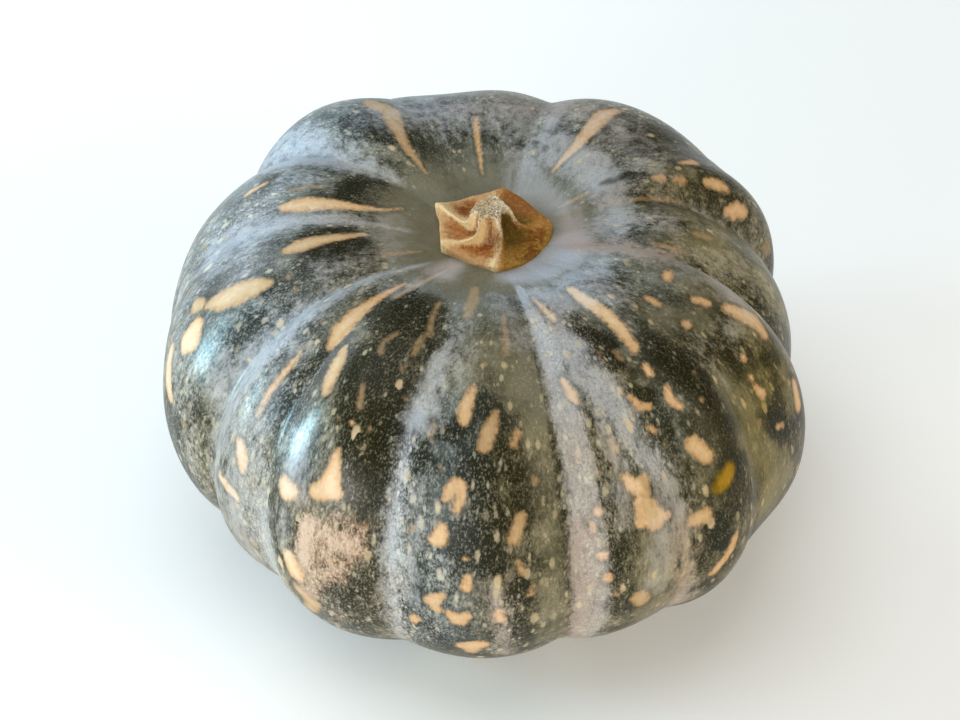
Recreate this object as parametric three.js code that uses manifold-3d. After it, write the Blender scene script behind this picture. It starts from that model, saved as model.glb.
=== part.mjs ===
// A kabocha squash: one squat ribbed fruit standing on its rib feet, with its corky cut stem.
// Millimetres, +Z up. A longitude is in degrees, 0 at the front (-Y), growing towards +X.
// The shapes are worked out round the centre of the widest circle; the last lines then
// move the whole squash so that the origin is the middle of its footprint.

import * as THREE from 'three';
import { mergeVertices } from 'three/addons/utils/BufferGeometryUtils.js';
import Module from 'manifold-3d';

// ---- driving dimensions -------------------------------------------------------------------

const WIDEST_RADIUS = 112;

// The fruit's plain profile: a superellipse above and below the widest circle, with a
// round hollow at its pole. shoulder < 1 makes the side fuller than a circle's.
const TOP = { height: 71, shoulder: 0.7, crown: 1, hollow: 18, hollowSpread: 50 };
const BOTTOM = { height: 69, shoulder: 0.8, crown: 0.92, hollow: 14, hollowSpread: 30 };

// The stem's end of the fruit stands a little off the middle.
const TOP_POLE = { x: 2, y: -4, fade: 1.5 };

// One row for each rib: the longitude of the groove before it, that groove's depth, and
// how far the rib's back swells out (or stays in) from the plain profile.
const RIBS = [
  { groove: 12, depth: 4, swell: 1 },
  { groove: 33, depth: 2.5, swell: 2.5 },
  { groove: 49, depth: 2, swell: -1 },
  { groove: 78, depth: 7, swell: -11 },
  { groove: 106, depth: 7.5, swell: -3.5 },
  { groove: 127, depth: 2, swell: -1 },
  { groove: 164, depth: 4.5, swell: -4 },
  { groove: 202, depth: 2, swell: 3.5 },
  { groove: 234, depth: 6, swell: -1 },
  { groove: 267, depth: 2.5, swell: -0.5 },
  { groove: 300, depth: 6, swell: -2 },
  { groove: 317, depth: 3, swell: 2.5 },
  { groove: 342, depth: 3, swell: 3 },
];
const GROOVE_ROUNDING = 0.06;   // share of a half rib that the bottom of a groove is rounded over
const RIB_START = 0.28;         // share of the way from stem to blossom end where ribs are full
const RIB_END = 0.38;           // the same, counted from the blossom end
const RIB_FADE = 1.5;

const FOOT_LEVEL = -63.6;        // the flats that the fruit stands on, from the widest circle
const SEGMENTS_PER_RIB = 8;
const ROWS = 36;                // from stem to blossom end

// The stem: a five-ridged corky stub. It flares at its foot into a plate with an upright rim,
// and draws in to a narrow column with a cut top.
const STEM = {
  x: 2,
  y: -1,
  leanX: -1.3,                  // how far the cut top stands to the left and the front of the foot
  leanY: -2,
  seat: 49.3,                   // its underside, sunk in the fruit
  foot: 55,                     // where it starts to lean
  top: 68,
  topDish: 1,
  rimRounding: 0.5,             // how far a rim's corner stands over its level and in from its reach
  rimDepth: 2,                  // how far under its level a rim starts to turn in
  ridge: { waist: 12, neck: 7.6, neckLevel: 62, top: 6.9 },
  hollow: { waist: 10, neck: 5, neckRise: 1.2, top: 4.9 },
  ridgeWidth: 2.4,              // higher is a thinner ridge
};
// One row for each ridge: where it points, how far it has turned where it meets the cut, how
// far it reaches, and the level of its end; then the reach and the level of the rim of the
// hollow after it, and the level of its floor.
const STEM_RIDGES = [
  { longitude: -1, twist: 21, foot: 19.6, level: 58, edge: 17.9, rim: 55.5, floor: 56.3 },
  { longitude: 98, twist: -18, foot: 19, level: 57.5, edge: 16.2, rim: 58.8, floor: 58.4 },
  { longitude: 168, twist: 10, foot: 18.8, level: 60, edge: 17.2, rim: 58.8, floor: 58.4 },
  { longitude: 243, twist: 37, foot: 21.4, level: 61.6, edge: 17.8, rim: 58.8, floor: 57.4 },
  { longitude: 297, twist: 25, foot: 19.8, level: 59.3, edge: 16.8, rim: 55.5, floor: 56.3 },
];
const TWIST_START = 0.35;       // shares of the way from the stem's seat to its cut
const TWIST_END = 0.9;
const STEM_SEGMENTS_PER_RIDGE = 12;
const STEM_ROWS = 14;
const SEAT_GAP = 0.3;

// ---- the fruit ----------------------------------------------------------------------------

const TURN = 360;
const radians = THREE.MathUtils.degToRad;

// Where a share of a full turn falls, with the same number of steps over every rib.
function spreadOverRibs(turn) {
  const along = turn * RIBS.length;
  const index = Math.floor(along) % RIBS.length;
  const start = RIBS[index].groove;
  const end = index + 1 < RIBS.length ? RIBS[index + 1].groove : RIBS[0].groove + TURN;
  return { index, across: along - Math.floor(along), longitude: start + (along % 1) * (end - start) };
}

// The plain profile at v, 0 at the stem and 1 at the blossom end.
function profile(v) {
  const lift = Math.cos(Math.PI * v);
  const half = lift >= 0 ? TOP : BOTTOM;
  const radius = WIDEST_RADIUS * Math.sin(Math.PI * v) ** half.shoulder;
  const hollow = half.hollow * lift * lift * Math.exp(-((radius / half.hollowSpread) ** 2));
  return { radius, z: Math.sign(lift) * (half.height * Math.abs(lift) ** half.crown - hollow) };
}

// The profile's outward direction, from two points close to v.
function profileNormal(v) {
  const step = 1e-4;
  const before = profile(Math.max(v - step, 0));
  const after = profile(Math.min(v + step, 1));
  return new THREE.Vector2(before.z - after.z, after.radius - before.radius).normalize();
}

// How far the skin stands from the plain profile: a parabola over each rib, from the
// rounded bottom of one groove to the next. A groove is cut from the mean of its two ribs.
function ribOffset(index, across) {
  const count = RIBS.length;
  const grooveLevel = (i) => {
    const rib = RIBS[i % count];
    const last = RIBS[(i + count - 1) % count];
    return (rib.swell + last.swell) / 2 - rib.depth;
  };
  const eps = GROOVE_ROUNDING;
  const fromGroove = 1 - Math.abs(2 * across - 1);
  const rounded = (Math.hypot(fromGroove, eps) - eps) / (Math.hypot(1, eps) - eps);
  const arc = 1 - (1 - rounded) ** 2;
  const base = THREE.MathUtils.lerp(
    grooveLevel(index), grooveLevel(index + 1), THREE.MathUtils.smoothstep(across, 0, 1));
  return THREE.MathUtils.lerp(base, RIBS[index].swell, arc);
}

// Ribs fade out towards both ends of the fruit.
function ribStrength(v) {
  const rise = (share) => Math.sin(Math.min(share, 1) * Math.PI / 2) ** RIB_FADE;
  return rise(v / RIB_START) * rise((1 - v) / RIB_END);
}

function skinPoint({ index, across, longitude }, v) {
  const plain = profile(v);
  const out = profileNormal(v);
  const offset = ribOffset(index, across) * ribStrength(v);
  const radius = plain.radius + offset * out.x;
  const shift = v < 0.5 ? (1 - plain.radius / WIDEST_RADIUS) ** TOP_POLE.fade : 0;
  return new THREE.Vector3(
    radius * Math.sin(radians(longitude)) + TOP_POLE.x * shift,
    -radius * Math.cos(radians(longitude)) + TOP_POLE.y * shift,
    Math.max(plain.z + offset * out.y, FOOT_LEVEL));
}

function fruitGeometry() {
  const geometry = new THREE.SphereGeometry(1, RIBS.length * SEGMENTS_PER_RIB, ROWS);
  const { position, uv } = geometry.attributes;
  for (let i = 0; i < position.count; i += 1) {
    const isPole = uv.getY(i) === 0 || uv.getY(i) === 1;
    const point = skinPoint(spreadOverRibs(isPole ? 0 : uv.getX(i)), 1 - uv.getY(i));
    position.setXYZ(i, point.x, point.y, point.z);
  }
  return geometry;
}

// ---- the stem -----------------------------------------------------------------------------

// A curve with rounded corners: it runs from the first point to the last one, and is a
// parabola round each point between them.
function roundedCurve(points, along) {
  const spans = points.length - 2;
  const span = Math.min(Math.floor(along * spans), spans - 1);
  const share = along * spans - span;
  const [last, corner, next] = points.slice(span, span + 3);
  const start = span === 0 ? last : last.clone().lerp(corner, 0.5);
  const end = span === spans - 1 ? next : corner.clone().lerp(next, 0.5);
  return start.clone().lerp(corner, share).lerp(corner.clone().lerp(end, share), share);
}

// Where a longitude at the stem's foot falls: which ridge is before it, which one after it,
// and how far it is from the one to the other.
function stemSector(longitude) {
  const turn = THREE.MathUtils.euclideanModulo(longitude - STEM_RIDGES[0].longitude, TURN);
  const starts = STEM_RIDGES.map((ridge) => ridge.longitude - STEM_RIDGES[0].longitude);
  const index = starts.findLastIndex((start) => start <= turn);
  const end = index + 1 < starts.length ? starts[index + 1] : TURN;
  return {
    before: STEM_RIDGES[index],
    after: STEM_RIDGES[(index + 1) % STEM_RIDGES.length],
    across: (turn - starts[index]) / (end - starts[index]),
  };
}

// The stem's outline in a sector, as a radius and a level, from its seat at 0 to its cut top
// at 1: a ridge's outline, a hollow's, or one between the two.
function stemOutline({ before, after, across }, up) {
  const { foot, level } = across < 0.5 ? before : after;
  const { edge, rim, floor } = before;
  const { ridge, hollow, rimRounding, rimDepth, seat, top } = STEM;
  const points = [
    [edge, seat, foot, seat],
    [edge, rim - rimDepth, foot, level - rimDepth],
    [edge - rimRounding, rim + rimRounding, foot - rimRounding, level + rimRounding],
    [hollow.waist, floor, ridge.waist, level - rimRounding],
    [hollow.neck, floor + hollow.neckRise, ridge.neck, ridge.neckLevel],
    [hollow.top, top, ridge.top, top],
  ];
  const share = Math.abs(2 * across - 1) ** STEM.ridgeWidth;
  const mixed = points.map(([hollowRadius, hollowLevel, ridgeRadius, ridgeLevel]) => (
    new THREE.Vector2(hollowRadius, hollowLevel).lerp(new THREE.Vector2(ridgeRadius, ridgeLevel), share)));
  return roundedCurve(mixed, up);
}

// How far the ridges have turned round the stem at this height, in radians.
function stemTwist({ before, after, across }, up) {
  const turned = THREE.MathUtils.smoothstep(up, TWIST_START, TWIST_END);
  return turned * radians(THREE.MathUtils.lerp(before.twist, after.twist, across));
}

// The stem as a closed mesh; grow makes it wider and deeper, for the seat that it needs.
function stemGeometry(grow = 0) {
  const around = STEM_RIDGES.length * STEM_SEGMENTS_PER_RIDGE;
  const geometry = new THREE.CylinderGeometry(1, 1, 1, around, STEM_ROWS);
  const { position } = geometry.attributes;
  for (let i = 0; i < position.count; i += 1) {
    const share = Math.hypot(position.getX(i), position.getZ(i)) > 0.5 ? 1 : 0;
    const footAngle = Math.atan2(position.getX(i), position.getZ(i));
    const up = THREE.MathUtils.clamp(position.getY(i) + 0.5, 0, 1);
    const sector = stemSector(THREE.MathUtils.radToDeg(footAngle));
    const outline = stemOutline(sector, up);
    const angle = footAngle + stemTwist(sector, up);
    const radius = share * (outline.x + grow);
    const lean = Math.max(outline.y - STEM.foot, 0) / (STEM.top - STEM.foot);
    const dish = share === 0 && up === 1 ? STEM.topDish : 0;
    position.setXYZ(
      i,
      STEM.x + STEM.leanX * lean + radius * Math.sin(angle),
      STEM.y + STEM.leanY * lean - radius * Math.cos(angle),
      outline.y - dish - (up === 0 ? grow : 0));
  }
  return geometry;
}

// ---- the seat that the fruit has for its stem ---------------------------------------------

const wasm = await Module();
wasm.setup();

function toSolid(geometry) {
  const bare = geometry.clone();
  bare.deleteAttribute('normal');
  bare.deleteAttribute('uv');
  const merged = mergeVertices(bare);
  return new wasm.Manifold(new wasm.Mesh({
    numProp: 3,
    vertProperties: new Float32Array(merged.attributes.position.array),
    triVerts: new Uint32Array(merged.index.array),
  }));
}

function toGeometry(solid) {
  const mesh = solid.getMesh();
  const geometry = new THREE.BufferGeometry();
  geometry.setAttribute('position', new THREE.BufferAttribute(mesh.vertProperties, 3));
  geometry.setIndex(new THREE.BufferAttribute(mesh.triVerts, 1));
  geometry.computeVertexNormals();
  return geometry;
}

// ---- the squash ---------------------------------------------------------------------------

const rind = new THREE.MeshStandardMaterial({ color: 0x4d5650, roughness: 0.45, metalness: 0 });
const cork = new THREE.MeshStandardMaterial({ color: 0xb08a52, roughness: 0.9, metalness: 0 });

const seated = toSolid(fruitGeometry()).subtract(toSolid(stemGeometry(SEAT_GAP)));
const fruit = new THREE.Mesh(toGeometry(seated), rind);
fruit.name = 'fruit';

const stem = new THREE.Mesh(stemGeometry(), cork);
stem.name = 'stem';

const squash = new THREE.Group();
squash.add(fruit, stem);

const box = new THREE.Box3().setFromObject(squash);
const middle = box.getCenter(new THREE.Vector3());
squash.position.set(-middle.x, -middle.y, -box.min.z);

export default squash;
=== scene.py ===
"""A whole kabocha squash: the fine, freckled rind and the corky stem, over the plain solids.

Lengths are millimetres in the squash's own measure, with the middle of its widest circle at
zero, until the meshes are made; there they become metres in the shared frame. A longitude is
in degrees, 0 at the front and growing to the right. A share is the way down a meridian, from
0 at the stem to 1 at the blossom end.
"""

from math import cos, radians, sin, tau

import bpy
import numpy as np
from mathutils import Matrix, Vector


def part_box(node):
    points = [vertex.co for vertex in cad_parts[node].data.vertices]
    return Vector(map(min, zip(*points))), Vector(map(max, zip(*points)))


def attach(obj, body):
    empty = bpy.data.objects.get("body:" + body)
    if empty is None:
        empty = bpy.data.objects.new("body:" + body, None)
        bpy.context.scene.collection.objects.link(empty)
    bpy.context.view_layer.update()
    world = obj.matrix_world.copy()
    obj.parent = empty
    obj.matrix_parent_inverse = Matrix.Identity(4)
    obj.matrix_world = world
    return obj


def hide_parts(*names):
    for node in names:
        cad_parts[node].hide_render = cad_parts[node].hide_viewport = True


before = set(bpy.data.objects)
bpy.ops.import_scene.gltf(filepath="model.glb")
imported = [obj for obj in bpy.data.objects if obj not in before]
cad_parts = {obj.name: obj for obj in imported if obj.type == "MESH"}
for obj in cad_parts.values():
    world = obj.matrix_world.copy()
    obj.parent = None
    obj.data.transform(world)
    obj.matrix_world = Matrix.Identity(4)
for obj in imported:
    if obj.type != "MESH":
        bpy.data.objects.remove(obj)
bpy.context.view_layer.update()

MM = 0.001

# ---- the fruit's form: the same dimensions as the solids ----

WIDEST_RADIUS = 112
TOP = dict(height=71, shoulder=0.70, crown=1.0, hollow=18, spread=50)
BOTTOM = dict(height=69, shoulder=0.80, crown=0.92, hollow=14, spread=30)
TOP_POLE = dict(x=2, y=-4, fade=1.5)
RIBS = np.array([   # the groove before the rib, that groove's depth, the rib's swell
    (12, 4, 1), (33, 2.5, 2.5), (49, 2, -1), (78, 7, -11), (106, 7.5, -3.5), (127, 2, -1),
    (164, 4.5, -4), (202, 2, 3.5), (234, 6, -1), (267, 2.5, -0.5), (300, 6, -2), (317, 3, 2.5),
    (342, 3, 3),
])
GROOVE_ROUNDING = 0.06
RIB_START = 0.28
RIB_END = 0.38
RIB_FADE = 1.5
FOOT_LEVEL = -63.6

RIPPLE = 0.15       # mm: each of the skin's slow waves
SCAR = dict(radius=4.5, width=1.7, height=1.1)      # mm: the raised ring at the blossom end

COLUMNS = 560       # round the fruit
ROWS = 178          # from stem to blossom end


def profile(v):
    """The plain outline: radius R sin(pi v)^shoulder, height h cos(pi v)^crown, less a bell-shaped
    hollow at each pole. v is 0 at the stem and 1 at the blossom end."""
    lift = np.cos(np.pi * v)
    upper = lift >= 0
    pick = lambda key: np.where(upper, TOP[key], BOTTOM[key])
    radius = WIDEST_RADIUS * np.clip(np.sin(np.pi * v), 0, 1) ** pick("shoulder")
    hollow = pick("hollow") * lift ** 2 * np.exp(-(radius / pick("spread")) ** 2)
    return radius, np.sign(lift) * (pick("height") * np.abs(lift) ** pick("crown") - hollow)


def profile_normal(v):
    """The outline's outward direction, from two points close to v."""
    step = 1e-4
    r0, z0 = profile(np.clip(v - step, 0, 1))
    r1, z1 = profile(np.clip(v + step, 0, 1))
    length = np.hypot(r1 - r0, z1 - z0)
    return (z0 - z1) / length, (r1 - r0) / length


# Rows are evenly spaced along the outline, so v is looked up from the share of its length.
_v = np.linspace(0, 1, 4001)
_radius, _z = profile(_v)
_run = np.concatenate([[0], np.cumsum(np.hypot(np.diff(_radius), np.diff(_z)))])
MERIDIAN = _run[-1]


def v_at(share):
    """v at a share of the way down the outline."""
    return np.interp(share, _run / MERIDIAN, _v)


def radius_at(share):
    """The plain outline's radius at a share of the way down it."""
    return np.interp(share, _run / MERIDIAN, _radius)


def smooth(share):
    """From 0 to 1 along a cubic that is level at both ends."""
    return share * share * (3 - 2 * share)


def between(angles, longitude):
    """Which of the angles round the circle a longitude follows, and its share of the way from
    there to the next one."""
    edges = np.append(angles, angles[0] + 360) - angles[0]
    turn = (longitude - angles[0]) % 360
    i = np.clip(np.searchsorted(edges, turn, side="right") - 1, 0, len(angles) - 1)
    return i, (turn - edges[i]) / (edges[i + 1] - edges[i])


def rib_offset(longitude):
    """How far a rib's back stands off the plain outline: a parabola across the rib between the
    rounded bottoms of its two grooves."""
    groove, depth, swell = RIBS.T
    i, across = between(groove, longitude)
    level = (swell + np.roll(swell, 1)) / 2 - depth
    near = 1 - np.abs(2 * across - 1)
    eps = GROOVE_ROUNDING
    rounded = (np.hypot(near, eps) - eps) / (np.hypot(1, eps) - eps)
    ease = smooth(across)
    base = level[i] * (1 - ease) + np.roll(level, -1)[i] * ease
    return base + (swell[i] - base) * (1 - (1 - rounded) ** 2)


def rib_strength(v):
    """The share of its offset that a rib has: a power of a sine, rising from 0 at either pole."""
    rise = lambda share: np.sin(np.clip(share, 0, 1) * np.pi / 2) ** RIB_FADE
    return rise(v / RIB_START) * rise((1 - v) / RIB_END)


def ripple(longitude, share):
    """Slow unevenness of a grown skin: three crossed sine waves, under half a millimetre."""
    a = np.radians(longitude)
    s = share * tau
    wave = np.sin(7 * a + 2.3 * s + 1) + np.sin(11 * a - 3.1 * s) + 0.7 * np.sin(17 * a + 5.2 * s + 2)
    return RIPPLE * wave * np.sin(np.pi * share)


def skin(longitude, share):
    """The rind's surface, as an array of points."""
    v = v_at(share)
    radius, z = profile(v)
    out_r, out_z = profile_normal(v)
    offset = rib_offset(longitude) * rib_strength(v) + ripple(longitude, share)
    offset += SCAR["height"] * np.exp(-((radius - SCAR["radius"]) / SCAR["width"]) ** 2) * (v > 0.5)
    turned = radius + offset * out_r
    shift = np.clip(1 - radius / WIDEST_RADIUS, 0, 1) ** TOP_POLE["fade"] * (v < 0.5)
    a = np.radians(longitude)
    return np.stack([
        turned * np.sin(a) + TOP_POLE["x"] * shift,
        -turned * np.cos(a) + TOP_POLE["y"] * shift,
        np.maximum(z + offset * out_z, FOOT_LEVEL),
    ], axis=-1)


# ---- the rind's markings ----

CALM_UNTIL = 0.15   # share of the meridian up to which the skin by the stem is plain
CALM_FADE = 0.07    # share over which the plain skin at either pole gives way
TONES = (0.88, 1.0)     # the least and most that one mark's brightness is of its group's
SQUEEZE = 0.6       # how much of the narrowing towards the poles the markings' pattern follows
LENGTHENING = 1.4   # the power of the share that draws the pattern out towards the stem
DRAWN_OUT = 2.0     # the same for the freckles, which are longer there
MARK_HALO = 9.0     # mm round a mark where its brightness counts
MARK_FIELD = 6.0    # mm round a mark where the distance to it is still told
TONE_SEED = 3
STREWN_SEED = 5
STREWN = dict(      # the marks of the far side and the underside
    count=150, highest=0.34, lowest=0.88,       # the shares that they lie between
    middle=172, spread=72, all_round=0.6,       # degrees, and the share past which they go round
    shape=2.2, scale=0.75, least=0.5,           # mm: a gamma distribution of sizes
    shortest=0.3, longest=3.2, lean=0.5,        # lengths in sizes, and the lean off a meridian
)

# Each mark is a brush stroke: points of (longitude, share, half width in mm).

CREAM = [
    # front ribs
    [(-4.8, .262, 1.2), (-6.2, .283, 2.3), (-6.3, .297, 1.7)],
    [(-8.6, .376, 1.3), (-8.1, .368, 1.8), (-7, .359, 1.9), (-6, .361, 1.7), (-6, .374, 1.6),
     (-6.7, .386, 1.3)],
    [(-8.9, .406, 1.7), (-9.3, .418, 2.8), (-10.3, .421, 1.8)], [(-4.7, .46, 1.4), (-5, .472, 1.9)],
    [(-9, .487, 1.6), (-10.4, .496, 2.6), (-9.8, .508, 1.4)],
    [(-7.7, .511, 1.6), (-6.3, .52, 2.8), (-5, .512, 1.7)], [(-13.4, .532, 1.9), (-13.7, .539, 1.4)],
    [(0, .506, 1.5), (.2, .517, 1.9)], [(-6.2, .573, 2), (-4.6, .569, 3), (-2.8, .564, 2.5)],
    [(-4.6, .578, 2.8), (-4.8, .588, 1.7)], [(-5, .438, .9)],
    [(16, .259, .9), (17, .277, 1.6), (17.6, .287, .8)], [(17, .404, 1.6)],
    [(18.3, .13, .5), (19.6, .16, .9), (20.6, .182, 1)], [(15.8, .417, 1), (15.9, .424, 1)],
    [(17, .457, 1.8)], [(17.7, .488, 2)],
    # the big splash
    [(22.4, .374, 1.1), (23.8, .386, 2.4), (25.2, .395, 2.6)], [(24, .43, 2), (29, .435, 1.5)],
    [(23.4, .385, 2), (25.2, .388, 2.2)], [(24.3, .405, 2), (24.3, .43, 2)],
    # right front
    [(28.9, .299, 1), (30, .312, 1.4), (32.2, .317, 1.1)], [(30.3, .336, 1), (31.2, .344, .8)],
    [(35.6, .142, 1.8), (35.2, .165, 2.3), (36, .2, 2), (36, .23, 1.6), (35.6, .257, 1)],
    [(35.5, .276, 1), (35.4, .286, 1.2)], [(36.9, .307, 1), (36.2, .319, 1.2), (37.4, .332, 1)],
    [(41.5, .503, 1.4), (40.6, .52, 1.9), (37.6, .548, 1.5)], [(51.2, .211, 1.1), (51.7, .226, 1.2)],
    [(52.4, .265, 1.8)], [(61.5, .215, 1.5), (63.5, .213, 1.7)], [(59.9, .253, 1.2), (61.5, .267, 1.4)],
    [(63.8, .288, 1.9), (65.6, .31, 3), (67, .325, 2.9), (66.2, .343, 2)], [(57.8, .338, 1.5)],
    [(56.5, .36, 1.2)], [(56.3, .372, 1.2), (56.8, .384, 2)], [(66.3, .418, 2.5), (65.3, .44, 3)],
    [(57, .43, .9), (58.7, .436, 1.1)],
    # left front
    [(-45.5, .135, .7), (-45.4, .165, 1.5), (-45.2, .205, 2.4), (-44.6, .237, 2.5), (-43.6, .257, .9)],
    [(-48.7, .279, .8), (-49, .31, 1.2), (-49.3, .335, 1.1), (-49.2, .365, .7)], [(-28.1, .32, .9)],
    [(-29.2, .35, .9), (-29, .365, 2), (-28.9, .38, 3.1), (-29.2, .392, 3.8)],
    [(-31, .4, 2.8), (-28, .392, 3)], [(-38, .41, 2.6), (-36, .413, 3), (-37.4, .419, 2.6)],
    [(-50.3, .405, 2), (-49, .416, 2.8), (-48.3, .43, 1.7)],
    [(-53.8, .464, 1.6), (-51.2, .468, 2), (-48.9, .472, 1.7)], [(-35, .494, 3.2), (-34, .512, 3.8)],
    # left
    [(-111, .107, .5), (-104.5, .124, .7), (-101.8, .15, 1.5), (-101, .185, 2.3), (-100.4, .212, 2.8),
     (-99.8, .236, 1.5)],
    [(-84.6, .14, 1), (-82.6, .165, 1.9), (-81.5, .19, 2.6), (-80.8, .212, 3), (-80.3, .228, 1.5)],
    [(-75.6, .36, 3.6), (-75, .373, 5.2), (-75.6, .384, 4)],
    [(-79.6, .417, 2.6), (-78.4, .432, 3.7), (-76, .445, 3.5), (-73.6, .452, 2.4)],
    [(-111.5, .275, .9), (-109.3, .298, 1.7)],
    # back
    [(143.5, .118, .9), (142.2, .165, 2.1), (143.5, .205, 2.8), (144.6, .235, 2.7), (143.8, .262, 1.1)],
    [(185.6, .1, .5), (185.3, .14, .9), (184.6, .175, 1), (184, .19, .5)],
    [(111.7, .277, 1.4), (112, .3, 2.1), (111.6, .317, 1)],
    [(108.3, .32, 1.2), (109, .3375, 2.4), (109.6, .358, 1.6)], [(117, .25, .9), (118, .275, 2.1)],
]
WARM = [    # more orange ones
    [(-71.4, .258, 1.8), (-72.7, .273, 3.8), (-74.2, .296, 4.6), (-75.8, .318, 3.6),
     (-77.6, .335, 1.6)],
    [(-79.3, .344, 2.4), (-80.6, .353, 3)],
    [(-39.4, .25, 1.2), (-38.2, .266, 2.8), (-37.2, .288, 2.4), (-36.6, .302, 1.6)],
    [(26.2, .384, 1.8), (25.2, .405, 2.4), (25.9, .422, 3.8), (26.8, .434, 3.8)],
    [(33.7, .458, 2.2), (35.6, .456, 3.1)], [(36.9, .373, 2.9), (38.3, .391, 2.5)],
]
DULL = [    # a greyer one, on the far side
    [(218.3, .121, 1), (216.4, .16, 2), (212.8, .195, 2.8), (210, .222, 3), (211, .25, 3),
     (210.8, .268, 1.5)],
]
TAN = [     # darker ones
    [(.2, .287, .9), (-1, .305, 2.5), (-2.2, .322, 2.1)], [(4.3, .309, 1.2), (3.3, .322, 1.1)],
    [(4, .395, 1.9), (2.6, .418, 2.1)], [(112.2, .202, 1.3), (112, .212, 1.5)],
    [(111.4, .229, 1.2), (111.2, .241, 1.5)], [(3.3, .443, .8), (3.7, .457, 1.3)],
    [(5.5, .476, .8), (4.9, .488, 1)], [(23.2, .531, 3.2), (23.9, .541, 3)],
    [(-34, .54, 2.4), (-31.5, .555, 3), (-33.4, .58, 2.6)],
]
FADED = [   # small, faint ones
    [(-12.3, .303, .8), (-12.5, .316, .9)], [(-10, .345, .9)], [(6.6, .355, .8), (6.7, .363, .9)],
    [(3.6, .155, .5), (3.4, .19, .8), (3.2, .222, .8)], [(-3.1, .235, .8)],
    [(-12.5, .1, 1.6), (-10.2, .13, 2.2), (-10, .165, 1.2)], [(15.2, .337, 1), (15.3, .343, 1.1)],
    [(21.8, .335, 1), (22.2, .348, 1.2)], [(18, .365, .9)], [(15.5, .498, 1)], [(19.2, .517, 1.2)],
    [(27.3, .243, .9)], [(26.9, .253, .8)], [(31.2, .247, .9), (31.5, .257, .9)], [(29.5, .27, .6)],
    [(32.2, .361, .9)], [(41.8, .337, .9)], [(43.9, .311, .9)], [(51.2, .298, .9)],
    [(61.8, .167, .9), (63.5, .163, 1)], [(63.8, .395, 1)], [(53.2, .407, 1.3)],
    [(81.2, .18, .9), (81.4, .215, 1.1)], [(83.5, .36, 1.2)],
    [(-28.6, .214, .8), (-30.4, .228, .8), (-29.3, .242, 1)], [(-29.2, .28, .8), (-27.9, .303, .9)],
    [(-31.2, .322, .8)], [(-24.6, .322, .9)], [(-24.9, .342, .7)],
    [(-21.5, .205, .9), (-21.6, .23, .8)], [(-22.8, .25, .8)], [(-19.5, .28, .8)], [(-14, .413, 1.4)],
    [(-46, .535, 2)], [(-109.5, .195, .5), (-108, .215, .8), (-106.8, .235, .6)], [(-96.5, .31, 1.2)],
    [(-98.5, .35, 1.5)], [(-70, .235, 1.1)], [(-66, .235, .8)], [(-67.3, .43, 1.2)], [(-68, .465, 1.6)],
    [(-87.8, .37, 1.8)], [(107, .165, .6), (106.8, .24, .5)], [(90.5, .235, 1.5), (91.5, .26, 1.2)],
    [(119.3, .085, .5), (118.2, .105, .9), (117, .122, .4)],
    [(-42, .08, .7), (-40.5, .125, 1.1), (-41, .162, 1)], [(-70.5, .085, .5), (-69, .13, .8)],
    [(-24, .145, .8), (-22.5, .17, 1), (-20, .2, .9)],
]
OCHRE = [   # the one yellow-brown mark
    [(38.8, .43, 2.8), (40.4, .424, 4), (41.8, .418, 3.2)],
]
BLOSSOM_SCAR = [    # the corky spot in the middle of the underside
    [(0, 1, 4)],
]
DOTTED = [  # a row of small dark scars round the far shoulder
    [(147.7, .148, .9)], [(154, .1435, 1.3)], [(159.4, .151, 1.1)], [(165.5, .1435, 1)],
    [(176.5, .145, .8)], [(178.8, .151, .9)], [(190, .161, 1.1)], [(196.7, .169, 1.3)],
]

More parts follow.
